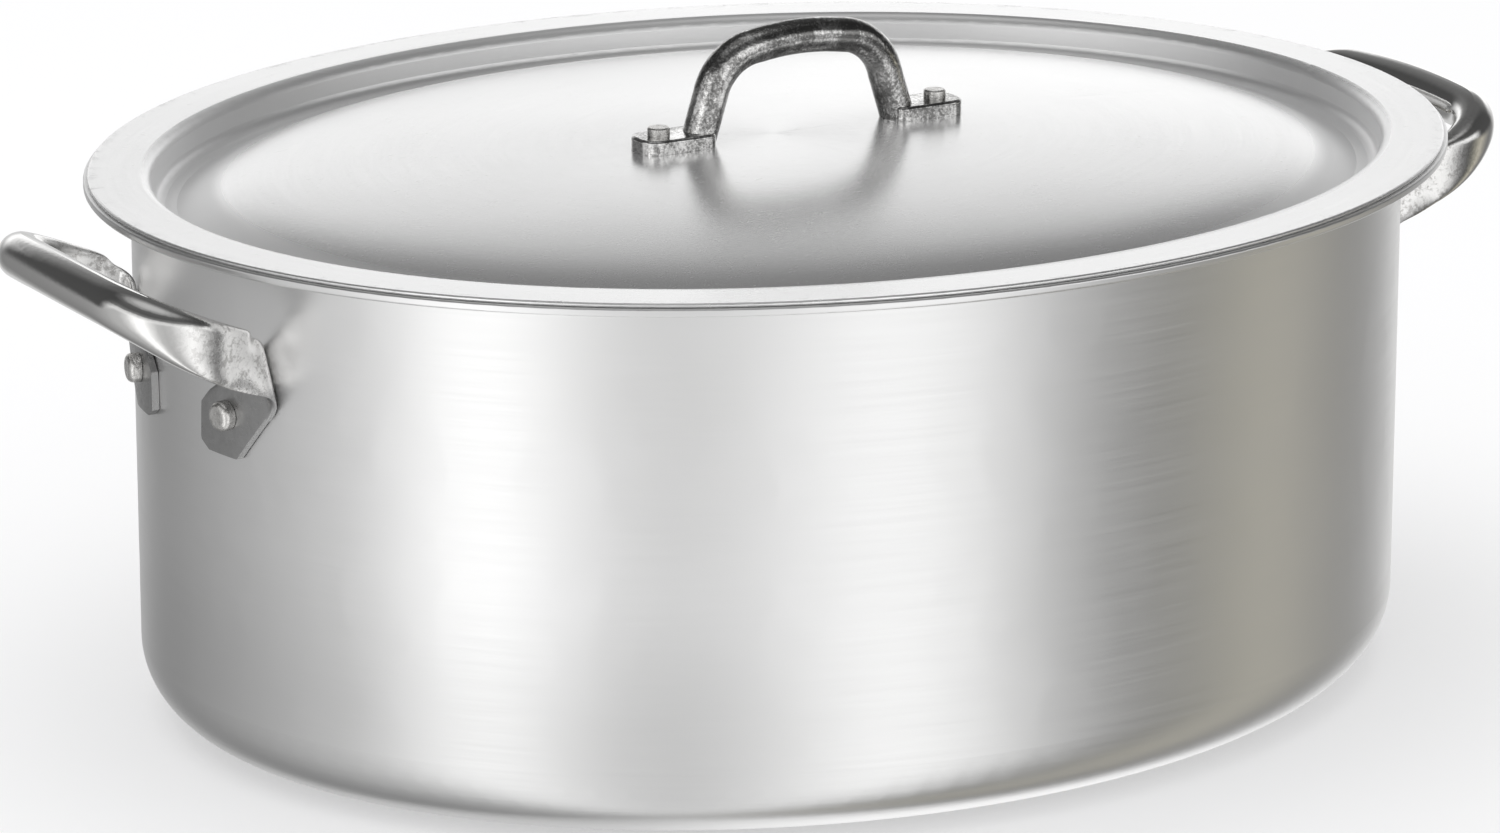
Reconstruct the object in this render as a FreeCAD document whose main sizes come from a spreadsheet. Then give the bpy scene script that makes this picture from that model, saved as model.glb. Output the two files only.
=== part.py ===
import FreeCAD, Part
import math
import os
import Sketcher

V = FreeCAD.Vector

# Oval aluminium casserole with a drop-in lid, riveted tube side handles and a
# cast lid bow.  Millimetres.  Origin: centre of the flat base on the table.
# +X runs along the oval's long axis, +Y along the short axis, +Z up.

doc = FreeCAD.newDocument("oval_casserole")

# ---------------------------------------------------------------- dimensions
SIZES = [
    # pot body
    ("wall_long", 204.0),      # outside half length of the wall
    ("wall_short", 170.5),     # outside half width of the wall
    ("pot_sheet", 2.4),        # aluminium thickness of the pot
    ("pot_height", 167.7),     # base to top of the rim
    ("base_round", 23.0),      # outside radius where wall meets base
    ("rim_long", 218.2),       # half length over the turned-out rim
    ("rim_short", 184.7),
    ("rim_bend", 4.2),         # radius under the rim
    ("rim_edge", 0.7),         # eased edge of the rim
    # lid pan
    ("lid_long", 217.0),       # half length over the lid flange
    ("lid_short", 183.5),
    ("lid_sheet", 1.3),
    ("lid_gap", 0.03),         # play between lid flange and pot rim
    ("flange_flat", 15.9),     # flat width of the flange before it turns down
    ("flange_bend", 3.6),      # visible radius at the top of the recess
    ("recess_depth", 10.8),
    ("recess_draft", 8.0),     # degrees
    ("recess_round", 3.4),     # radius at the foot of the recess wall
    ("ledge_inset", 27.0),     # lid edge to where the panel starts to rise
    ("dome_top", 2.2),         # centre of the panel above the flange
    # lid handle
    ("bow_shift", 8.7),        # the bow sits slightly towards the +X end
    ("bow_rivet", 49.5),       # half distance between the two rivets
    ("bow_leg", 35.9),         # half distance of the legs at the foot
    ("bow_corner", 27.4),      # half distance of the upper corners
    ("bow_corner_rise", 26.9), # upper corners above the panel
    ("bow_rise", 30.6),        # middle of the grip above the panel
    ("bow_round", 18.0),
    ("bow_crown", 90.0),
    ("bow_thick", 11.4),
    ("foot_long", 25.0),
    ("foot_wide", 15.5),
    ("foot_thick", 4.6),
    ("foot_tip", 57.3),        # half distance over the feet
    ("foot_edge", 1.1),
    # rivets
    ("rivet_shank", 2.5),      # radius
    ("rivet_play", 0.03),
    ("side_head", 4.5),        # radius of the outer head of a side rivet
    ("side_head_tall", 3.9),
    ("side_tail", 5.0),        # radius of the head inside the pot
    ("side_tail_tall", 1.6),
    ("side_head_round", 1.9),
    ("side_tail_round", 0.8),
    ("lid_head", 3.5),
    ("lid_head_tall", 2.7),
    ("lid_tail", 5.4),
    ("lid_tail_tall", 1.5),
    ("lid_head_round", 0.7),
    ("lid_tail_round", 0.8),
    # side handles
    ("side_rivet_y", 29.4),    # half distance between the two rivets
    ("side_rivet_z", 117.6),   # height of the rivets
    ("tube", 13.8),            # tube diameter
    ("tube_wall", 1.2),
    ("plate", 2.4),            # flattened tube, two walls
    ("plate_gap", 0.1),       # between foot plate and wall
    ("strip", 18.0),           # height of the flattened tube at the fold
    ("grip_y", 55.5),          # corners of the loop's centre line
    ("grip_reach", 33.5),      # beyond the wall's long end
    ("grip_bulge", 2.4),
    ("grip_round", 23.0),
    ("grip_slope", 0.471),     # climb of the legs per millimetre of reach
    ("grip_sag", 0.1),
    ("grip_root", 137.5),      # height the legs aim from
]
sheet = doc.addObject("Spreadsheet::Sheet", "Sizes")
for i, (name, value) in enumerate(SIZES, start=1):
    sheet.set("A%d" % i, name)
    sheet.set("B%d" % i, repr(value))
    sheet.setAlias("B%d" % i, name)
doc.recompute()


def size(name):
    return float(sheet.get(name))


S = {name: size(name) for name, _ in SIZES}


def plane(body, role):
    for f in body.Origin.OriginFeatures:
        if f.Role == role:
            return f
    raise RuntimeError(role)


def sketch_on(body, name, role, height=None):
    sk = body.newObject("Sketcher::SketchObject", name)
    sk.AttachmentSupport = [(plane(body, role), "")]
    sk.MapMode = "FlatFace"
    if height is not None:
        sk.setExpression("AttachmentOffset.Base.z", height)
    return sk


def ellipse_in(sk, long_expr, short_expr, a, b):
    """An ellipse centred on the sketch origin with its half lengths bound to the sheet."""
    g = sk.addGeometry(Part.Ellipse(V(0, 0, 0), a, b))
    sk.exposeInternalGeometry(g)
    sk.addConstraint(Sketcher.Constraint("Coincident", g, 3, -1, 1))
    major, minor = g + 1, g + 2
    sk.addConstraint(Sketcher.Constraint("Horizontal", major))
    i = sk.addConstraint(Sketcher.Constraint("Distance", major, 2 * a))
    j = sk.addConstraint(Sketcher.Constraint("Distance", minor, 2 * b))
    sk.setExpression("Constraints[%d]" % i, long_expr)
    sk.setExpression("Constraints[%d]" % j, short_expr)


def edges_where(shape, test):
    return ["Edge%d" % (i + 1) for i, e in enumerate(shape.Edges) if test(e)]


def is_ring(edge, a, b, z, tol=0.05):
    """True for a closed oval edge with these half lengths at this height."""
    bb = edge.BoundBox
    return (abs(bb.XMax - a) < tol and abs(bb.XMin + a) < tol and abs(bb.YMax - b) < tol
            and abs(bb.YMin + b) < tol and abs(bb.ZMax - z) < tol and abs(bb.ZMin - z) < tol)


# ------------------------------------------------------------------ pot body
body = doc.addObject("PartDesign::Body", "PotShell")
sk = sketch_on(body, "WallOutline", "XY_Plane")
ellipse_in(sk, "2 * Sizes.wall_long", "2 * Sizes.wall_short", S["wall_long"], S["wall_short"])
pad = body.newObject("PartDesign::Pad", "WallBlock")
pad.Profile = sk
pad.setExpression("Length", "Sizes.pot_height")
doc.recompute()

sk = sketch_on(body, "RimOutline", "XY_Plane", "Sizes.pot_height - Sizes.pot_sheet")
ellipse_in(sk, "2 * Sizes.rim_long", "2 * Sizes.rim_short", S["rim_long"], S["rim_short"])
rim = body.newObject("PartDesign::Pad", "RimFlange")
rim.Profile = sk
rim.setExpression("Length", "Sizes.pot_sheet")
doc.recompute()

under = S["pot_height"] - S["pot_sheet"]
f2 = body.newObject("PartDesign::Fillet", "RimBendUnder")
f2.Base = (rim, edges_where(rim.Shape, lambda e: is_ring(e, S["wall_long"], S["wall_short"], under)))
f2.setExpression("Radius", "Sizes.rim_bend")
doc.recompute()

in_long, in_short = S["wall_long"] - S["pot_sheet"], S["wall_short"] - S["pot_sheet"]
sk = sketch_on(body, "MouthOutline", "XY_Plane", "Sizes.pot_height")
ellipse_in(sk, "2 * (Sizes.wall_long - Sizes.pot_sheet)", "2 * (Sizes.wall_short - Sizes.pot_sheet)",
           in_long, in_short)
hollow = body.newObject("PartDesign::Pocket", "Hollow")
hollow.Profile = sk
hollow.setExpression("Length", "Sizes.pot_height - Sizes.pot_sheet")
doc.recompute()

f3 = body.newObject("PartDesign::Fillet", "FloorRound")
f3.Base = (hollow, edges_where(hollow.Shape, lambda e: is_ring(e, in_long, in_short, S["pot_sheet"])))
f3.setExpression("Radius", "Sizes.base_round - Sizes.pot_sheet")
doc.recompute()

f1 = body.newObject("PartDesign::Fillet", "BaseRound")
f1.Base = (f3, edges_where(f3.Shape, lambda e: is_ring(e, S["wall_long"], S["wall_short"], 0)))
f1.setExpression("Radius", "Sizes.base_round")
doc.recompute()

f4 = body.newObject("PartDesign::Fillet", "RimBendMouth")
f4.Base = (f1, edges_where(f1.Shape, lambda e: is_ring(e, in_long, in_short, S["pot_height"])))
f4.setExpression("Radius", "Sizes.rim_bend + Sizes.pot_sheet")
doc.recompute()

f5 = body.newObject("PartDesign::Fillet", "RimEdge")
f5.Base = (f4, edges_where(f4.Shape, lambda e: is_ring(e, S["rim_long"], S["rim_short"], S["pot_height"])
                           or is_ring(e, S["rim_long"], S["rim_short"], under)))
f5.setExpression("Radius", "Sizes.rim_edge")
body.Tip = f5
doc.recompute()


# --------------------------------------------------- where a side rivet sits
def wall_point(y, out, end, long=None, short=None):
    """Point and outward normal on the wall's outside oval at height 0, pushed out by 'out'."""
    a, b = S["wall_long"] if long is None else long, S["wall_short"] if short is None else short
    x = end * a * math.sqrt(1 - (y / b) ** 2)
    n = V(x / a ** 2, y / b ** 2, 0)
    n.normalize()
    return V(x, y, 0) + n * out, n


def rivet_frame(end, side):
    """Placement whose +Z points out of the wall at a rivet, origin on the wall's outside."""
    p, n = wall_point(side * S["side_rivet_y"], 0, end)
    p.z = S["side_rivet_z"]
    return FreeCAD.Placement(p, FreeCAD.Rotation(V(0, 0, 1), n))


SIDES = [("left", -1), ("right", 1)]
ENDS = [("front", -1), ("rear", 1)]


def drill(name, placement, down, up):
    """A drill for one rivet hole, from 'down' below to 'up' above its placement."""
    c = doc.addObject("Part::Cylinder", name)
    c.setExpression("Radius", "Sizes.rivet_shank + Sizes.rivet_play")
    c.Height = down + up
    c.Placement = placement.multiply(FreeCAD.Placement(V(0, 0, -down), FreeCAD.Rotation()))
    return c


drills = {}
for hname, end in SIDES:
    for rname, side in ENDS:
        drills[hname, rname] = drill("drill_%s_%s" % (hname, rname), rivet_frame(end, side), 12, 12)

tools = doc.addObject("Part::Compound", "WallDrills")
tools.Links = [drills[h, r] for h, _ in SIDES for r, _ in ENDS]
pot = doc.addObject("Part::Cut", "PotBody")
pot.Base = body
pot.Tool = tools
pot.Label = "pot_body"


# -------------------------------------------------------- oval sheet surfaces
# A full turn as a rational quadratic: the same knots serve every oval, because
# an oval ring is a circle stretched by its two half lengths.
TURN = [(1, 0), (1, 1), (0, 1), (-1, 1), (-1, 0), (-1, -1), (0, -1), (1, -1), (1, 0)]
TURN_W = [1, math.sqrt(0.5)] * 4 + [1]
TURN_KNOTS, TURN_MULTS = [0, 1, 2, 3, 4], [3, 2, 2, 2, 3]


def oval_face(profile, weights, knots, mults, degree):
    """Face swept round the oval; profile poles are (half length, half width, height)."""
    poles = [[V(a * cx, b * cy, z) for cx, cy in TURN] for a, b, z in profile]
    wts = [[w * tw for tw in TURN_W] for w in weights]
    surf = Part.BSplineSurface()
    surf.buildFromPolesMultsKnots(poles, mults, TURN_MULTS, knots, TURN_KNOTS, False, False, degree, 2, wts)
    return surf.toShape()


def ring_line(p, q, oval):
    a, b, z = oval
    pts = [(a - d, b - d, z + h) for d, h in (p, q)]
    return oval_face(pts, [1, 1], [0, 1], [2, 2], 1)


def ring_arc(centre, radius, start, end, oval):
    """Arc in the (inset, height) plane, angles in degrees, under 180 degrees long."""
    a, b, z = oval
    s, e = math.radians(start), math.radians(end)
    m, h = (s + e) / 2, math.cos((e - s) / 2)
    pts = []
    for ang, r in ((s, radius), (m, radius / h), (e, radius)):
        d, up = centre[0] + r * math.cos(ang), centre[1] + r * math.sin(ang)
        pts.append((a - d, b - d, z + up))
    return oval_face(pts, [1, abs(h), 1], [0, 1], [3, 3], 2)


def dome_face(poles, long, short, z):
    """Closed-over panel: poles are (fraction of the half lengths, height)."""
    n = len(poles)
    knots = list(range(n - 2))
    mults = [4] + [1] * (n - 4) + [4]
    return oval_face([(long * f, short * f, z + h) for f, h in poles], [1] * n, knots, mults, 3)


def solid_of(faces):
    shell = Part.Shell(faces)
    shell.sewShape()
    solid = Part.Solid(shell)
    if solid.Volume < 0:
        solid.reverse()
    return solid


def feature(name, shape, placement=None):
    f = doc.addObject("Part::Feature", name)
    f.Shape = shape
    if placement is not None:
        f.Placement = placement
    return f


# ------------------------------------------------------------------- lid pan
top = S["pot_height"] + S["lid_gap"] + S["lid_sheet"]      # height of the flange top
lid_oval = (S["lid_long"], S["lid_short"], top)
t = S["lid_sheet"]
draft = math.radians(S["recess_draft"])
R1, R2 = S["flange_bend"], S["recess_round"]
d0 = S["flange_flat"]
deep = -S["recess_depth"]
turn = 90 - S["recess_draft"]
w1 = (d0 + R1 * math.cos(draft), -R1 + R1 * math.sin(draft))             # recess wall, upper end
drop = w1[1] - (deep + R2 - R2 * math.sin(draft))
w2 = (w1[0] + drop * math.tan(draft), w1[1] - drop)                      # recess wall, lower end
c2 = (w2[0] + R2 * math.cos(draft), deep + R2)
out = (-math.cos(draft), -math.sin(draft))                               # wall normal into the sheet
w1u = (w1[0] + out[0] * t, w1[1] + out[1] * t)
w2u = (w2[0] + out[0] * t, w2[1] + out[1] * t)
ledge = S["ledge_inset"]
edge = t / 2
pan_long, pan_short = S["lid_long"] - ledge, S["lid_short"] - ledge
rise = S["dome_top"]
DOME = [(1.0, deep), (0.986, deep + 0.9), (0.957, deep + 2.9), (0.915, deep + 5.6), (0.84, deep + 7.9),
        (0.68, rise - 2.9), (0.46, rise - 1.0), (0.22, rise), (0.0, rise)]

faces = [
    ring_arc((edge, -edge), edge, 90, 180, lid_oval),
    ring_arc((edge, -edge), edge, 180, 270, lid_oval),
    ring_line((edge, 0), (d0, 0), lid_oval),
    ring_arc((d0, -R1), R1, 90, 90 - turn, lid_oval),
    ring_line(w1, w2, lid_oval),
    ring_arc(c2, R2, 180 + S["recess_draft"], 270, lid_oval),
    ring_line((c2[0], deep), (ledge, deep), lid_oval),
    dome_face(DOME, pan_long, pan_short, top),
    ring_line((edge, -t), (d0, -t), lid_oval),
    ring_arc((d0, -R1), R1 - t, 90, 90 - turn, lid_oval),
    ring_line(w1u, w2u, lid_oval),
    ring_arc(c2, R2 + t, 180 + S["recess_draft"], 270, lid_oval),
    ring_line((c2[0], deep - t), (ledge, deep - t), lid_oval),
    dome_face([(f, h - t) for f, h in DOME], pan_long, pan_short, top),
]
lid_sheet = feature("LidSheet", solid_of(faces))

bow_x = S["bow_shift"]
lid_holes = []
for rname, end in SIDES:
    lid_holes.append(drill("drill_lid_%s" % rname,
                           FreeCAD.Placement(V(bow_x + end * S["bow_rivet"], 0, top), FreeCAD.Rotation()), 20, 20))
    lid_holes[-1].setExpression("Placement.Base.x", "Sizes.bow_shift + %d * Sizes.bow_rivet" % end)
lid_tools = doc.addObject("Part::Compound", "LidDrills")
lid_tools.Links = lid_holes
lid = doc.addObject("Part::Cut", "LidPan")
lid.Base = lid_sheet
lid.Tool = lid_tools
lid.Label = "lid_pan"
doc.recompute()

# ---------------------------------------------------------------- lid handle
# Built standing on its own base plane, then set on the panel.  The bow's line:
# leaning legs, round upper corners and a slightly crowned grip.
bow = doc.addObject("PartDesign::Body", "BowCasting")


def rounded_path(points, radii):
    """Lines through the points with tangent arcs at the inner ones."""
    geo, cursor = [], points[0]
    for i in range(1, len(points) - 1):
        p0, p1, p2 = points[i - 1], points[i], points[i + 1]
        u, w = (p0 - p1), (p2 - p1)
        u.normalize()
        w.normalize()
        half = u.getAngle(w) / 2
        cut = radii[i - 1] / math.tan(half)
        a, b = p1 + u * cut, p1 + w * cut
        bis = u + w
        bis.normalize()
        mid = p1 + bis * (radii[i - 1] / math.sin(half) - radii[i - 1])
        geo.append(Part.LineSegment(cursor, a))
        geo.append(Part.Arc(a, mid, b))
        cursor = b
    geo.append(Part.LineSegment(cursor, points[-1]))
    return geo


sk_path = sketch_on(bow, "BowLine", "XZ_Plane")
path_pts = [V(-S["bow_leg"], 0.5, 0), V(-S["bow_corner"], S["bow_corner_rise"], 0), V(0, S["bow_rise"] + 0.45, 0),
            V(S["bow_corner"], S["bow_corner_rise"], 0), V(S["bow_leg"], 0.5, 0)]
for g in rounded_path(path_pts, [S["bow_round"], S["bow_crown"], S["bow_round"]]):
    sk_path.addGeometry(g)
for i in range(sk_path.GeometryCount - 1):          # join neighbours end to end
    pairs = [(m, n) for m in (1, 2) for n in (1, 2)
             if (sk_path.getPoint(i, m) - sk_path.getPoint(i + 1, n)).Length < 1e-6]
    sk_path.addConstraint(Sketcher.Constraint("Coincident", i, pairs[0][0], i + 1, pairs[0][1]))

sk_sec = bow.newObject("Sketcher::SketchObject", "BowSection")
sk_sec.AttachmentSupport = [(plane(bow, "XY_Plane"), "")]
sk_sec.MapMode = "FlatFace"
sk_sec.setExpression("AttachmentOffset.Base.x", "-Sizes.bow_leg")
sk_sec.AttachmentOffset = FreeCAD.Placement(V(-S["bow_leg"], 0, 0.5), FreeCAD.Rotation())
sk_sec.addGeometry(Part.Circle(V(0, 0, 0), V(0, 0, 1), S["bow_thick"] / 2))
sk_sec.addConstraint(Sketcher.Constraint("Coincident", 0, 3, -1, 1))
i = sk_sec.addConstraint(Sketcher.Constraint("Diameter", 0, S["bow_thick"]))
sk_sec.setExpression("Constraints[%d]" % i, "Sizes.bow_thick")
doc.recompute()
pipe = bow.newObject("PartDesign::AdditivePipe", "BowBar")
pipe.Profile = sk_sec
pipe.Spine = (sk_path, [])
doc.recompute()


def foot_outline(name, end):
    """Foot seen from above: straight sides, round tip outwards, eased corners under the leg."""
    sk = bow.newObject("Sketcher::SketchObject", name)
    sk.AttachmentSupport = [(plane(bow, "XY_Plane"), "")]
    sk.MapMode = "FlatFace"
    sk.AttachmentOffset = FreeCAD.Placement(V(0, 0, -3), FreeCAD.Rotation())
    tip, r = end * S["foot_tip"], S["foot_wide"] / 2
    back, c, k = tip - end * S["foot_long"], 6.0, 3.6
    mid, kid = c * (1 - math.sqrt(0.5)), k * (1 - math.sqrt(0.5))
    sk.addGeometry(Part.LineSegment(V(back + end * k, -r, 0), V(tip - end * c, -r, 0)))
    sk.addGeometry(Part.Arc(V(tip - end * c, -r, 0), V(tip - end * mid, -r + mid, 0), V(tip, -r + c, 0)))
    sk.addGeometry(Part.LineSegment(V(tip, -r + c, 0), V(tip, r - c, 0)))
    sk.addGeometry(Part.Arc(V(tip, r - c, 0), V(tip - end * mid, r - mid, 0), V(tip - end * c, r, 0)))
    sk.addGeometry(Part.LineSegment(V(tip - end * c, r, 0), V(back + end * k, r, 0)))
    sk.addGeometry(Part.Arc(V(back + end * k, r, 0), V(back + end * kid, r - kid, 0), V(back, r - k, 0)))
    sk.addGeometry(Part.LineSegment(V(back, r - k, 0), V(back, -r + k, 0)))
    sk.addGeometry(Part.Arc(V(back, -r + k, 0), V(back + end * kid, -r + kid, 0), V(back + end * k, -r, 0)))
    pad = bow.newObject("PartDesign::Pad", name + "Pad")
    pad.Profile = sk
    pad.setExpression("Length", "Sizes.foot_thick + 3")
    doc.recompute()
    return pad


foot_outline("FootLeft", -1)
feet = foot_outline("FootRight", 1)

zf = S["foot_thick"]


def foot_rim(e):
    """Straight and round edges of a foot's top, not the seam with the leg."""
    bb = e.BoundBox
    return (abs(bb.ZMax - zf) < 1e-3 and abs(bb.ZMin - zf) < 1e-3
            and e.Curve.TypeId in ("Part::GeomLine", "Part::GeomCircle") and e.Length > 2)


ease = bow.newObject("PartDesign::Fillet", "FootEdges")
ease.Base = (feet, edges_where(feet.Shape, foot_rim))
ease.setExpression("Radius", "Sizes.foot_edge")
bow.Tip = ease
doc.recompute()

base_z = top + S["dome_top"] - 0.35
bow.Placement = FreeCAD.Placement(V(bow_x, 0, base_z), FreeCAD.Rotation())
bow.setExpression("Placement.Base.x", "Sizes.bow_shift")

# The feet follow the panel: everything under the panel's skin is cut away.
skin = 0.03
under_panel = feature("UnderPanel", solid_of([
    dome_face([(f, h + skin) for f, h in DOME], pan_long, pan_short, top),
    ring_line((ledge, deep + skin), (ledge, deep - 20), lid_oval),
    dome_face([(f, deep - 20) for f, _ in DOME], pan_long, pan_short, top),
]))
bow_tools = doc.addObject("Part::Compound", "BowTools")
bow_tools.Links = [under_panel] + lid_holes
bow_cut = doc.addObject("Part::Cut", "LidHandle")
bow_cut.Base = bow
bow_cut.Tool = bow_tools
bow_cut.Label = "lid_handle"
doc.recompute()


# ------------------------------------------------------------------- rivets
def rivet(label, placement, head, head_tall, head_round, head_z, tail, tail_tall, tail_round, tail_z):
    """Shank with a made head above and a closed head below.  head, tail and rounds are
    sheet expressions; head_z and tail_z are heights along the rivet's own axis."""
    b = doc.addObject("PartDesign::Body", "Body_" + label)
    b.Label = label
    parts = []
    for name, radius, height, z0 in (
            ("Shank", "Sizes.rivet_shank", head_z - tail_z + 0.2, tail_z - 0.1),
            ("Head", "Sizes." + head, "Sizes." + head_tall, head_z),
            ("Tail", "Sizes." + tail, "Sizes." + tail_tall, tail_z - S[tail_tall])):
        c = b.newObject("PartDesign::AdditiveCylinder", label + "_" + name)
        c.AttachmentSupport = [(plane(b, "XY_Plane"), "")]
        c.MapMode = "FlatFace"
        c.AttachmentOffset = FreeCAD.Placement(V(0, 0, z0), FreeCAD.Rotation())
        c.setExpression("Radius", radius)
        if isinstance(height, str):
            c.setExpression("Height", height)
        else:
            c.Height = height
        parts.append(c)
        doc.recompute()
    last = parts[-1]
    for name, z, radius, rnd in (("HeadRound", head_z + S[head_tall], S[head], head_round),
                                 ("TailRound", tail_z - S[tail_tall], S[tail], tail_round)):
        f = b.newObject("PartDesign::Fillet", label + "_" + name)
        f.Base = (last, edges_where(last.Shape, lambda e: is_ring(e, radius, radius, z, 0.02)))
        f.setExpression("Radius", "Sizes." + rnd)
        last = f
        b.Tip = f
        doc.recompute()
    b.Placement = placement
    return b


nodes = {"pot_body": pot, "lid_pan": lid, "lid_handle": bow_cut}
for hname, end in SIDES:
    for rname, side in ENDS:
        label = "%s_handle_%s_rivet" % (hname, rname)
        nodes[label] = rivet(label, rivet_frame(end, side), "side_head", "side_head_tall", "side_head_round",
                             S["plate_gap"] + S["plate"] + 0.06, "side_tail", "side_tail_tall", "side_tail_round",
                             -S["pot_sheet"] - 0.12)

for rname, end in SIDES:
    x = bow_x + end * S["bow_rivet"]
    ray = Part.makeLine(V(x, 0, top - 30), V(x, 0, top + 30))
    hits = sorted(v.Point.z for v in lid_sheet.Shape.common(ray).Vertexes)
    label = "lid_%s_rivet" % rname
    place = FreeCAD.Placement(V(x, 0, base_z), FreeCAD.Rotation())
    nodes[label] = rivet(label, place, "lid_head", "lid_head_tall", "lid_head_round", S["foot_thick"] + 0.02,
                         "lid_tail", "lid_tail_tall", "lid_tail_round", hits[0] - base_z - 0.12)

# -------------------------------------------------------------- side handles
# One stainless tube, bent to a loop.  Its ends are pressed flat, folded inwards
# and follow the oval wall; each end carries one rivet.
height0 = 169.0            # heights of the foot plate are set out from here
# outline of a foot plate, (distance from the middle, height), and the flattened
# tube it is cut from as a row of slanted sections (upper point, lower point)
PLATE_TOP = [(24.1, -8.0), (24.1, -42.5), (17.2, -49.8)]
PLATE_LOW = [(16.8, -61.4), (20.8, -64.0), (33.8, -64.2), (48.7, -46.4)]
BLANK = [((13.0, -50.0), (19.0, -68.0)), ((17.5, -47.4), (24.0, -68.0)), ((22.0, -44.5), (29.0, -67.5)),
         ((26.5, -41.5), (33.5, -66.0)), ((31.0, -38.4), (37.5, -61.5)), ((35.0, -35.4), (41.0, -57.0)),
         ((38.6, -32.5), (44.6, -52.4)), ((41.3, -28.8), (47.2, -48.8))]


def smooth(v):
    v = min(1.0, max(0.0, v))
    return v * v * (3 - 2 * v)


def blend(p, q, f):
    w = p * (1 - f) + q * f
    w.normalize()
    return w


def handle_stations():
    """Half of the handle, from the foot plate's inner end to the middle of the grip:
    (centre, level heading, up vector, height, thickness, squareness)."""
    st = []
    mid = S["plate_gap"] + S["plate"] / 2
    for (yu, zu), (yl, zl) in BLANK:
        p, n = wall_point((yu + yl) / 2, mid, 1)
        p.z = height0 + (zu + zl) / 2
        tau = V(-n.y, n.x, 0)
        up = tau * ((yu - yl) / n.x) + V(0, 0, zu - zl)
        tall = up.Length
        up.normalize()
        st.append((p, tau, up, tall, S["plate"], 5.0))
    p0, lean, tall0 = st[-1][0], st[-1][2], st[-1][3]
    along = tau * lean.z - V(0, 0, 1) * lean.dot(tau)      # across the crease, in the wall's plane
    r = 3.6
    corner = V(S["wall_long"] + S["grip_reach"], S["grip_y"], 0)
    # fold: turn until the leg points at the loop's corner
    for k in range(1, 2000):
        phi = math.radians(k * 0.06)
        pos = p0 + n * (r * (1 - math.cos(phi))) + along * (r * math.sin(phi))
        head = tau * math.cos(phi) + n * math.sin(phi)
        want = corner - pos
        if head.x * want.y - head.y * want.x > 0:
            break
    turn_to = phi
    for k in range(1, 8):
        phi = turn_to * k / 7
        pos = p0 + n * (r * (1 - math.cos(phi))) + along * (r * math.sin(phi))
        pos.z += 0.82 * r * phi                              # the strip climbs round the fold
        head = tau * math.cos(phi) + n * math.sin(phi)
        st.append((pos, head, lean, tall0 + (S["strip"] - tall0) * k / 7, S["plate"], 5.0))
    z0 = st[-1][0].z
    start = V(st[-1][0].x, st[-1][0].y, 0)
    # leg, corner and grip in plan
    u = start - corner
    u.normalize()
    w = V(S["grip_bulge"] * 2, -S["grip_y"], 0)
    w.normalize()
    half = u.getAngle(w) / 2
    cut = S["grip_round"] / math.tan(half)
    bis = u + w
    bis.normalize()
    centre = corner + bis * (S["grip_round"] / math.sin(half))
    plan = []
    for k in range(1, 13):
        plan.append(start + (corner + u * cut - start) * (k / 12.0))
    a = corner + u * cut - centre
    b = corner + w * cut - centre
    ang = a.getAngle(b)
    for k in range(1, 13):
        q = -ang * k / 12
        plan.append(centre + V(a.x * math.cos(q) - a.y * math.sin(q), a.x * math.sin(q) + a.y * math.cos(q), 0))
    last = plan[-1]
    lean_out = w.x / -w.y
    for k in range(1, 9):
        # parabola tangent to the corner's end, level at the middle of the grip
        d = last.y * k / 8.0
        plan.append(V(last.x + lean_out * d - lean_out * d * d / (2 * last.y), last.y - d, 0))
    pts = [start] + plan
    reach = S["grip_reach"]

    def climb(v):
        lift = (S["grip_root"] - z0) * (1 - math.exp(-v / 6.5))
        return z0 + lift + S["grip_slope"] * v - S["grip_sag"] * v * (1 - v / reach)

    line = [V(q.x, q.y, climb(q.x - start.x)) for q in pts]
    gone = 0.0
    for k in range(1, len(line)):
        p = line[k]
        gone += (line[k] - line[k - 1]).Length
        q1, q2 = line[k - 1], line[k + 1] if k + 1 < len(line) else V(p.x, -line[k - 1].y, line[k - 1].z)
        head = q2 - q1
        head.normalize()
        flat = V(head.x, head.y, 0)
        flat.normalize()
        upv = head.cross(V(-flat.y, flat.x, 0))
        if upv.z < 0:
            upv = upv * -1
        v = p.x - start.x
        f = smooth(gone / 40.0)
        g = smooth((gone - 6.0) / 50.0)
        upv = blend(lean, upv, smooth(v / 10.0))
        tall = S["strip"] + (S["tube"] - S["strip"]) * g
        thick = S["plate"] + (S["tube"] - S["plate"]) * f
        st.append((p, flat, upv, tall, thick, 2.0 + 3.0 * (1 - f)))
    return st


def half_rows(station, first, shrink=0.0, count=16):
    """Control points round half of a cross-section, from its top edge to its bottom
    edge (first = 90) or back up (first = -90)."""
    p, head, upv, tall, thick, square = station
    side = V(-head.y, head.x, 0)
    side.normalize()
    pts = []
    for k in range(count + 1):
        ph = math.radians(first - 180.0 * k / count)
        c, s_ = math.cos(ph), math.sin(ph)
        if k in (0, count):
            c = 0.0
        m = (thick / 2 - shrink) * math.copysign(abs(c) ** (2 / square), c)
        b = (tall / 2 - shrink) * math.copysign(abs(s_) ** (2 / square), s_)
        pts.append(p + side * m + upv * b)
    return pts


def uniform(n, degree=3):
    """Clamped, evenly spaced knots for n control points."""
    return list(range(n - degree + 1)), [degree + 1] + [1] * (n - degree - 1) + [degree + 1]


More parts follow.
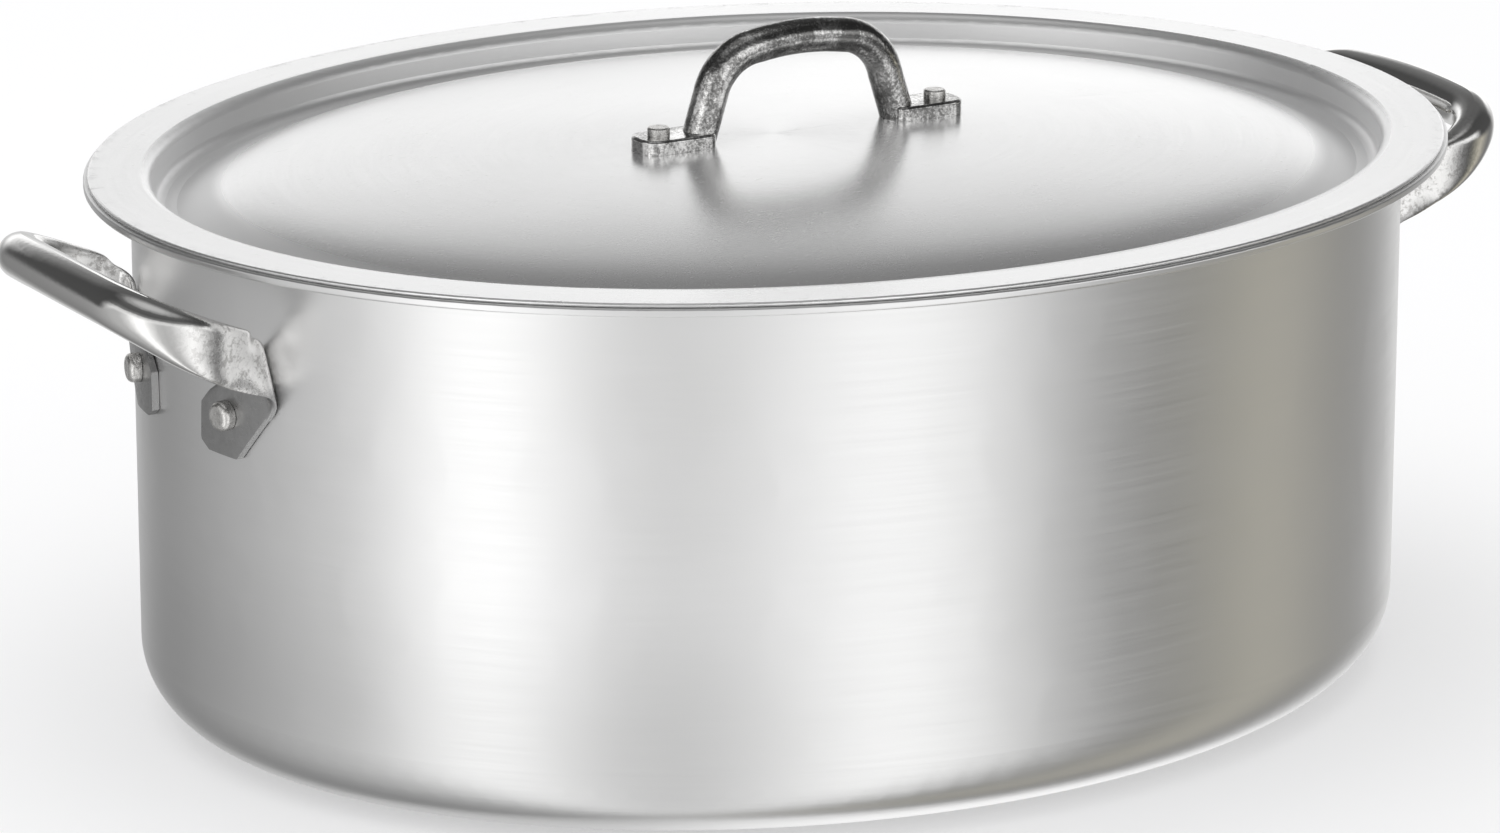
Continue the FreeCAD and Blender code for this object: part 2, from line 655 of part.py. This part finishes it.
def tube_solid(stations, shrink=0.0):
    """Closed solid through the stations: two long skins and two flat ends."""
    skins = []
    for first in (90, -90):
        net = [half_rows(q, first, shrink) for q in stations]
        uk, um = uniform(len(net))
        vk, vm = uniform(len(net[0]))
        surf = Part.BSplineSurface()
        surf.buildFromPolesMultsKnots(net, um, vm, uk, vk, False, False, 3, 3, [[1.0] * len(net[0])] * len(net))
        skins.append(surf)
    faces = [q.toShape() for q in skins]
    for end in (0, len(stations) - 3):
        rims = [q.uIso(q.bounds()[0] if end == 0 else q.bounds()[1]).toShape() for q in skins]
        faces.append(Part.Face(Part.Wire(rims)))
    return solid_of(faces)


def mirrored(station):
    p, head, upv, tall, thick, square = station
    return (V(p.x, -p.y, p.z), V(-head.x, head.y, 0), V(upv.x, -upv.y, upv.z), tall, thick, square)


half = handle_stations()
whole = half + [mirrored(q) for q in reversed(half[:-1])]
loop = tube_solid(whole)
bore = [q for q in whole if q[4] > 2 * S["tube_wall"] + 1.2]
loop = loop.cut(tube_solid(bore, S["tube_wall"]))

# trim the foot plates to their outline
(ya, za), (yb, zb) = PLATE_LOW[-2:]
outline = PLATE_LOW[:-1] + [(50.0, za + (zb - za) * (50.0 - ya) / (yb - ya)), (50.0, -8.0)] + PLATE_TOP
for s_ in (1, -1):
    ring = [V(180, s_ * y, z) for y, z in ((5, 90), (46.6, 90), (46.6, 160), (5, 160), (5, 90))]
    block = Part.Face(Part.makePolygon(ring)).extrude(V(42, 0, 0))
    poly = [V(170, s_ * y, z + height0) for y, z in outline + outline[:1]]
    keep = Part.Face(Part.makePolygon(poly)).extrude(V(70, 0, 0))
    loop = loop.cut(block.cut(keep))

for s_ in (1, -1):
    place = rivet_frame(1, s_)
    axis = place.Rotation.multVec(V(0, 0, 1))
    loop = loop.cut(Part.makeCylinder(S["rivet_shank"] + S["rivet_play"], 24, place.Base - axis * 12, axis))

blank = max(loop.Solids, key=lambda q: q.Volume)
for hname, end in SIDES:
    turned = FreeCAD.Placement(V(0, 0, 0), FreeCAD.Rotation(V(0, 0, 1), 0 if end > 0 else 180))
    h = feature("SideHandle_" + hname, blank, turned)
    h.Label = "side_handle_" + hname
    nodes[h.Label] = h

doc.recompute()

# ------------------------------------------------------------ check and write
for o in doc.Objects:
    if "Invalid" in o.State or "Error" in o.State:
        raise RuntimeError("%s is %s" % (o.Label, o.State))
for name, o in nodes.items():
    if o.Shape.isNull() or not o.Shape.isValid():
        raise RuntimeError("%s has no valid shape" % name)
    if len(o.Shape.Solids) != 1:
        raise RuntimeError("%s has %d solids" % (name, len(o.Shape.Solids)))

os.makedirs("parts", exist_ok=True)
for name, o in nodes.items():
    o.Shape.exportStep("parts/%s.step" % name)
    bb = o.Shape.BoundBox
    print("%-26s %9.0f mm3  x %7.1f..%6.1f  y %7.1f..%6.1f  z %6.1f..%6.1f" % (
        name, o.Shape.Volume, bb.XMin, bb.XMax, bb.YMin, bb.YMax, bb.ZMin, bb.ZMax))
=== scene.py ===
# Oval aluminium pot with a lid, steel tube side handles, a cast lid handle and rivets.
# It stands on z = 0 with its long axis on X and a side handle at each X end.
# The meshes come from the CAD; this script adds materials, a floor, a studio and a camera.
import bpy, math
from mathutils import Matrix, Vector

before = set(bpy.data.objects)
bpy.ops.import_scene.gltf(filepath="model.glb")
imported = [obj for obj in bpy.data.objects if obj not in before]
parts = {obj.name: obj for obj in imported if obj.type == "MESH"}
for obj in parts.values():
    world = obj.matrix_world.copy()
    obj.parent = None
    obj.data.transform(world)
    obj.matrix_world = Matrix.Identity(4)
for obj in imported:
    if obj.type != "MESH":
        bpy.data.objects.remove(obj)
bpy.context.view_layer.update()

POT_HALF = (0.204, 0.171)    # half-axes of the pot's oval, along X and Y
LID_HALF = (0.217, 0.1835)   # half-axes of the lid's oval, along X and Y
MID = (0.3, 0.7)             # span that most noise values fall in


# ------------------------------------------------------------- node helpers
def rgba(color):
    """Opaque colour from a grey level or an RGB triple."""
    if isinstance(color, (int, float)):
        color = (color, color, color)
    return (*color[:3], 1.0)


class Nodes:
    """Short calls for building a shader node tree; most return an output socket."""

    def __init__(self, tree):
        self.tree = tree
        tree.nodes.clear()

    def put(self, socket, value):
        if isinstance(value, bpy.types.NodeSocket):
            self.tree.links.new(value, socket)
        elif socket.type == "RGBA":
            socket.default_value = rgba(value)
        else:
            socket.default_value = value

    def node(self, kind, inputs=None, **settings):
        """Inputs are keyed by socket name or index; settings come first, as they alter sockets."""
        node = self.tree.nodes.new("ShaderNode" + kind)
        for key, value in settings.items():
            setattr(node, key, value)
        for key, value in (inputs or {}).items():
            self.put(node.inputs[key], value)
        return node

    def out(self, kind, inputs=None, **settings):
        return self.node(kind, inputs, **settings).outputs[0]

    def math(self, operation, a, b=0.0):
        return self.out("Math", {0: a, 1: b, 2: 0.0}, operation=operation)

    def add(self, a, b):
        return self.math("ADD", a, b)

    def mul(self, a, b):
        return self.math("MULTIPLY", a, b)

    def ramp(self, factor, stops, interpolation="LINEAR"):
        """Stops are (position, grey or RGB)."""
        node = self.node("ValToRGB", {0: factor})
        node.color_ramp.interpolation = interpolation
        elements = node.color_ramp.elements
        while len(elements) > 1:
            elements.remove(elements[-1])
        elements[0].position = stops[0][0]
        elements[0].color = rgba(stops[0][1])
        for position, color in stops[1:]:
            elements.new(position).color = rgba(color)
        return node.outputs[0]

    def mix(self, factor, a, b, blend="MIX"):
        # sockets 6 and 7 are the colour pair
        node = self.node("Mix", {}, data_type="RGBA", blend_type=blend)
        for index, value in ((0, factor), (6, a), (7, b)):
            self.put(node.inputs[index], value)
        return node.outputs[2]

    def remap(self, value, span, to=(0.0, 1.0), smooth=False):
        """Take span[0]..span[1] to to[0]..to[1], held at the ends."""
        return self.out("MapRange", dict(enumerate((value, *span, *to))),
                        interpolation_type="SMOOTHSTEP" if smooth else "LINEAR")

    def noise(self, vector, scale, detail, rough, distort=0.0):
        return self.out("TexNoise", {"Vector": vector, "Scale": scale, "Detail": detail,
                                     "Roughness": rough, "Distortion": distort})

    def bump(self, height, strength, distance, normal=None):
        inputs = {"Strength": strength, "Distance": distance, "Height": height}
        if normal is not None:
            inputs["Normal"] = normal
        return self.out("Bump", inputs)

    def coords(self, kind="Object"):
        return self.node("TexCoord").outputs[kind]

    def split(self, vector):
        return self.node("SeparateXYZ", {0: vector}).outputs

    def join(self, x, y, z):
        return self.out("CombineXYZ", {0: x, 1: y, 2: z})

    def oval_angle(self, x, y, half):
        """Angle about Z, evened out for an oval with these half-axes."""
        return self.math("ARCTAN2", self.math("DIVIDE", y, half[1]),
                         self.math("DIVIDE", x, half[0]))

    def around(self, angle, z, radius, z_scale):
        """Coordinates that wrap round Z without a seam."""
        return self.join(self.mul(self.math("COSINE", angle), radius),
                         self.mul(self.math("SINE", angle), radius),
                         self.mul(z, z_scale))


def new_material(name):
    material = bpy.data.materials.new(name)
    material.use_nodes = True
    return material, Nodes(material.node_tree)


def metal(t, color, rough, normal, aniso=0.0, matte=None):
    """Metal surface; aniso stretches highlights about Z, matte is the diffuse share."""
    inputs = {"Metallic": 1.0, "Base Color": color, "Roughness": rough,
              "Anisotropic": aniso, "Normal": normal}
    if aniso:
        inputs["Tangent"] = t.out("Tangent", direction_type="RADIAL", axis="Z")
    surface = t.out("BsdfPrincipled", inputs)
    if matte is not None:
        # the share of light a satin-etched skin scatters evenly
        diffuse = t.out("BsdfDiffuse", {"Color": 0.84})
        surface = t.out("MixShader", {0: matte, 1: surface, 2: diffuse})
    t.node("OutputMaterial", {0: surface})


# ---------------------------------------------------------------- materials
def pot_material():
    material, t = new_material("pot_satin_aluminium")
    place = t.coords()
    x, y, z = t.split(place)
    # spun and satin-finished wall: hair lines run round the body
    angle = t.oval_angle(x, y, POT_HALF)
    lines = t.noise(t.around(angle, z, radius=0.9, z_scale=260.0),
                    scale=4.0, detail=5.0, rough=0.65)
    fine = t.noise(t.around(angle, z, radius=5.0, z_scale=900.0),
                   scale=3.0, detail=3.0, rough=0.6)
    grain = t.noise(place, scale=1900.0, detail=2.0, rough=0.6)
    cloud = t.noise(place, scale=9.0, detail=3.0, rough=0.5)
    color = t.ramp(cloud, list(zip(MID, ((0.905, 0.905, 0.90), 0.95))))
    # painted shade: a darker patch low down at the -X end, turned slightly to -Y, mixed towards
    # grey 0.55
    toward_x, toward_y = 0.94, 0.34
    across = t.add(t.mul(x, toward_x), t.mul(y, toward_y))
    shade_side = t.remap(across, (-0.10, -0.17), smooth=True)
    shade_low_down = t.remap(z, (0.085, 0.03), to=(0.0, 0.30), smooth=True)
    color = t.mix(t.mul(shade_side, shade_low_down), color, b=0.55)
    rough = t.add(t.remap(lines, MID, to=(0.29, 0.34)), t.remap(cloud, MID, to=(-0.015, 0.015)))
    normal = t.bump(lines, strength=0.10, distance=0.0002)
    normal = t.bump(fine, strength=0.12, distance=0.00008, normal=normal)
    normal = t.bump(grain, strength=0.16, distance=0.00005, normal=normal)
    metal(t, color, rough, normal, aniso=0.45)
    return material


def lid_material():
    material, t = new_material("lid_satin_aluminium")
    place = t.coords()
    x, y, _ = t.split(place)
    angle = t.oval_angle(x, y, LID_HALF)
    # distance from the centre, 1 on the lid's oval
    squares = [t.math("POWER", t.math("DIVIDE", value, half), 2.0)
               for value, half in zip((x, y), LID_HALF)]
    radius = t.math("SQRT", t.add(*squares))
    ring_scale = 70.0
    rings = t.noise(t.join(t.math("COSINE", angle), t.math("SINE", angle),
                           t.mul(radius, ring_scale)),
                    scale=3.0, detail=4.0, rough=0.6)
    # short pressing and handling scratches, all lengthwise
    stretched = t.out("Mapping", {"Vector": place, "Scale": (260.0, 1900.0, 300.0),
                                  "Rotation": (0, 0, 0.25)})
    dash = t.remap(t.noise(stretched, scale=1.0, detail=2.0, rough=0.6), (0.66, 0.80))
    grain = t.noise(place, scale=1700.0, detail=2.0, rough=0.6)
    cloud = t.noise(place, scale=14.0, detail=3.0, rough=0.5)
    color = t.ramp(cloud, list(zip(MID, (0.91, 0.955))))
    dash_tint, dash_rough = 0.12, 0.08
    color = t.mix(t.mul(dash, dash_tint), color, b=0.6)
    rough = t.add(t.remap(rings, MID, to=(0.245, 0.265)), t.mul(dash, dash_rough))
    # the recess inside the rim is rougher and more matte
    recess = t.mul(t.remap(radius, (0.80, 0.83), smooth=True),
                   t.remap(radius, (0.905, 0.925), to=(1.0, 0.0), smooth=True))
    recess_rough, matte, recess_matte = 0.14, 0.09, 0.05
    rough = t.add(rough, t.mul(recess, recess_rough))
    normal = t.bump(dash, strength=0.05, distance=0.00003)
    normal = t.bump(grain, strength=0.26, distance=0.00006, normal=normal)
    # knocks along the outer edge
    worn = t.remap(radius, (0.975, 0.997))
    nick = t.remap(t.noise(place, scale=170.0, detail=5.0, rough=0.75, distort=0.6),
                   (0.54, 0.64))
    normal = t.bump(t.mul(worn, nick), strength=0.14, distance=0.0003, normal=normal)
    metal(t, color, rough, normal, aniso=0.25, matte=t.add(matte, t.mul(recess, recess_matte)))
    return material


def steel_material():
    material, t = new_material("polished_stainless_tube")
    place = t.coords()
    x, _, z = t.split(place)
    # pressed ends are dull and mottled, the free grip is polished
    press = t.remap(t.math("ABSOLUTE", x), (0.236, 0.212), smooth=True)
    fine = t.noise(place, scale=700.0, detail=4.0, rough=0.7, distort=0.3)
    broad = t.noise(place, scale=210.0, detail=4.0, rough=0.7)
    spots = t.remap(t.mul(fine, broad), (0.25, 0.33))
    spot_tint = 0.6
    color = t.mix(t.mul(press, t.mul(spots, spot_tint)),
                  a=(0.80, 0.795, 0.785), b=(0.30, 0.29, 0.28))
    rough = t.add(t.remap(broad, MID, to=(0.05, 0.09)),
                  t.mul(press, t.remap(fine, MID, to=(0.06, 0.20))))
    # the foot plates below the fold are an even, dull grey
    foot = t.remap(z, (0.1315, 0.1275), smooth=True)
    foot_tint, foot_rough, press_bump = 0.92, 0.12, 0.35
    color = t.mix(t.mul(foot, foot_tint), color, t.ramp(broad, list(zip(MID, (0.36, 0.46)))))
    rough = t.add(rough, t.mul(foot, foot_rough))
    normal = t.bump(fine, strength=t.mul(press, press_bump), distance=0.0002)
    normal = t.bump(broad, strength=0.05, distance=0.0003, normal=normal)
    metal(t, color, rough, normal)
    return material


def cast_material():
    material, t = new_material("tumbled_cast_aluminium")
    place = t.coords()
    big = t.noise(place, scale=110.0, detail=4.0, rough=0.6)
    pit = t.noise(place, scale=1050.0, detail=4.0, rough=0.75, distort=0.3)
    facets = t.out("TexVoronoi", {"Vector": place, "Scale": 520.0})
    # painted shade: the top of the bar is darkened further, on top of the dark skin mottling
    z = t.split(place)[2]
    top_shade = t.remap(z, (0.187, 0.205), to=(0.0, 0.06), smooth=True)
    # dark mask: mottled dark skin plus the painted shade along the top
    skin_and_shade = t.remap(t.add(t.mul(pit, big), top_shade), (0.17, 0.32))
    skin_and_shade_tint = 0.85
    color = t.mix(t.mul(skin_and_shade, skin_and_shade_tint), a=(0.93, 0.925, 0.915), b=(0.10, 0.098, 0.095))
    rough = t.remap(pit, MID, to=(0.05, 0.12))
    normal = t.bump(big, strength=0.40, distance=0.0006)
    normal = t.bump(facets, strength=0.30, distance=0.00012, normal=normal)
    normal = t.bump(pit, strength=0.45, distance=0.00008, normal=normal)
    metal(t, color, rough, normal)
    return material


def rivet_material():
    material, t = new_material("formed_aluminium_rivet")
    place = t.coords()
    broad = t.noise(place, scale=260.0, detail=4.0, rough=0.65)
    fine = t.noise(place, scale=1100.0, detail=4.0, rough=0.75)
    color = t.mix(t.remap(t.mul(broad, fine), (0.2, 0.34), to=(0.0, 0.6)),
                  a=(0.80, 0.79, 0.77), b=(0.40, 0.39, 0.38))
    rough = t.remap(fine, MID, to=(0.18, 0.34))
    normal = t.bump(broad, strength=0.5, distance=0.0008)
    normal = t.bump(fine, strength=0.25, distance=0.0002, normal=normal)
    metal(t, color, rough, normal)
    return material


def dress_parts():
    pot, lid, steel = pot_material(), lid_material(), steel_material()
    cast, rivet = cast_material(), rivet_material()
    by_name = {"pot_body": pot, "lid_pan": lid, "lid_handle": cast}
    for name, part in parts.items():
        material = steel if name.startswith("side_handle") else by_name.get(name, rivet)
        part.data.materials.clear()
        part.data.materials.append(material)


# -------------------------------------------------------------------- stage
def make_floor():
    """Pale, partly self-lit floor, just under z = 0 and unseen in reflections."""
    bpy.ops.mesh.primitive_plane_add(size=30, location=(0, 0, -0.0004))
    floor = bpy.context.object
    floor.name = "floor"
    material, t = new_material("pale_floor")
    diffuse = t.out("BsdfDiffuse", {"Color": (0.93, 0.93, 0.935)})
    glow = t.out("Emission", {"Color": (0.96, 0.96, 0.965)})
    glow_share = 0.40
    t.node("OutputMaterial", {0: t.out("MixShader", {0: glow_share, 1: diffuse, 2: glow})})
    floor.data.materials.append(material)
    floor.visible_glossy = False


# Azimuth of the studio: its zero faces the camera, positive is to the camera's right.
STUDIO_TURN = math.radians(-30.076)
# Horizon band: (azimuth in degrees, grey or RGB)
BAND = [
    (-180, 0.64), (-168, 0.70), (-158, 0.64), (-150, 0.40), (-138, 0.25), (-125, 0.28),
    (-112, 0.34), (-100, 0.39), (-88, 0.45), (-76, 0.53), (-64, 0.56), (-52, 0.82),
    (-42, 1.28), (-30, 1.38), (-20, 0.95), (-10, 0.63), (0, 0.56), (10, 0.65),
    (22, 0.96), (34, 1.25), (44, 1.10), (54, 0.74), (66, 0.28), (80, 0.11),
    (92, (0.34, 0.33, 0.28)), (102, (0.56, 0.53, 0.45)), (114, (0.34, 0.33, 0.30)),
    (126, 0.21), (138, 0.31), (150, 0.72), (162, 1.15), (180, 1.10)]
# Above the band: (elevation / 90 degrees, grey), with one shared top
TOP = [(0.80, 0.36), (0.90, 0.54), (1.0, 0.58)]
UP_NEAR = [(0.0, 1.10), (0.22, 1.15), (0.33, 0.75), (0.43, 0.20), (0.55, 0.10),
           (0.68, 0.12)] + TOP
UP_RIGHT = [(0.0, 0.40), (0.07, 0.95), (0.22, 1.10), (0.29, 0.55), (0.37, 0.09),
            (0.62, 0.07), (0.70, 0.13)] + TOP
UP_SIDE = [(0.0, 0.12), (0.15, 0.08), (0.62, 0.07), (0.70, 0.13)] + TOP
UP_FAR = [(0.0, 1.30), (0.16, 1.28), (0.205, 0.97), (0.24, 0.50), (0.28, 0.30),
          (0.34, 0.20), (0.46, 0.13), (0.62, 0.12), (0.70, 0.18)] + TOP
# Elevation in degrees where the band ends, and what each sector adds to it
BAND_END, NEAR_LIFT, FAR_LIFT, RIGHT_LIFT = -6.0, 22.0, 6.0, 5.0


def make_world():
    """Softly graded studio for reflections; plain greys for the camera and other rays."""
    world = bpy.data.worlds.new("studio")
    bpy.context.scene.world = world
    world.use_nodes = True
    t = Nodes(world.node_tree)
    x, y, z = t.split(t.coords("Generated"))
    cos_turn, sin_turn = math.cos(STUDIO_TURN), math.sin(STUDIO_TURN)
    rightward = t.add(t.mul(x, cos_turn), t.mul(y, sin_turn))
    toward = t.add(t.mul(x, sin_turn), t.mul(y, -cos_turn))
    azimuth = t.math("ARCTAN2", rightward, toward)
    turn_share = t.add(t.math("DIVIDE", azimuth, 2 * math.pi), 0.5)
    band = t.ramp(turn_share, [((degrees + 180) / 360.0, color) for degrees, color in BAND])
    elevation = t.mul(t.math("ARCSINE", z), 180 / math.pi)
    height = t.math("DIVIDE", elevation, 90.0)
    off_axis = t.mul(t.math("ABSOLUTE", azimuth), 180 / math.pi)

    def sector_edge(start, end, to=(0.0, 1.0)):
        """Soft edge between two azimuths in degrees."""
        return t.remap(azimuth, (math.radians(start), math.radians(end)), to=to, smooth=True)

    near = t.mul(sector_edge(42, 72, to=(1.0, 0.0)), sector_edge(-98, -68))
    far = t.remap(off_axis, (132.0, 158.0), smooth=True)
    right = t.mul(sector_edge(103, 84), t.math("GREATER_THAN", azimuth, 0.0))
    upper = t.ramp(height, UP_SIDE, "EASE")
    for sector, stops in ((right, UP_RIGHT), (near, UP_NEAR), (far, UP_FAR)):
        upper = t.mix(sector, upper, t.ramp(height, stops, "EASE"))
    # the band ends low at the sides, higher in front
    end = t.add(BAND_END, t.add(t.mul(near, NEAR_LIFT), t.mul(far, FAR_LIFT)))
    end = t.add(end, t.mul(t.mul(right, t.math("SUBTRACT", 1.0, near)), RIGHT_LIFT))
    above = t.math("SUBTRACT", elevation, end)
    # slightly darker towards straight down
    low = t.remap(elevation, (-75.0, -32.0), to=(0.90, 1.0), smooth=True)
    band = t.mix(1.0, band, t.join(low, low, low), "MULTIPLY")
    studio = t.mix(t.remap(above, (0.0, 14.0), smooth=True), band, upper)
    rays = t.node("LightPath").outputs
    color = t.mix(rays["Is Glossy Ray"], a=0.86, b=studio)
    color = t.mix(rays["Is Camera Ray"], color, b=0.97)
    t.node("OutputWorld", {0: t.out("Background", {"Color": color, "Strength": 1.0})})


def add_object(name, data):
    item = bpy.data.objects.new(name, data)
    bpy.context.scene.collection.objects.link(item)
    return item


def make_light():
    """Overhead panel aimed at the origin, unseen in reflections."""
    panel = bpy.data.lights.new("overhead", "AREA")
    panel.shape = "RECTANGLE"
    panel.size = panel.size_y = 3.0
    panel.energy = 26
    light = add_object("overhead", panel)
    light.location = place = Vector((-0.3, 0.2, 2.6))
    light.rotation_mode = "QUATERNION"
    light.rotation_quaternion = (-place).to_track_quat("-Z", "Y")
    light.visible_glossy = False


def make_camera():
    lens = bpy.data.cameras.new("camera")
    lens.sensor_fit = "HORIZONTAL"
    lens.sensor_width = 36.0
    lens.lens = 168.348
    lens.clip_start = 0.05
    lens.clip_end = 60
    camera = add_object("camera", lens)
    right = Vector((0.865358, -0.501155, 0.0))
    up = Vector((0.140034, 0.241801, 0.960168))
    forward = Vector((0.481193, 0.830889, -0.279423))
    place = Vector((-1.06135, -1.81802, 0.69259))
    columns = [(*right, 0), (*up, 0), (*-forward, 0), (*place, 1)]
    camera.matrix_world = Matrix(columns).transposed()
    bpy.context.scene.camera = camera


dress_parts()
make_floor()
make_world()
make_light()
make_camera()
bpy.context.scene.view_settings.view_transform = "Standard"
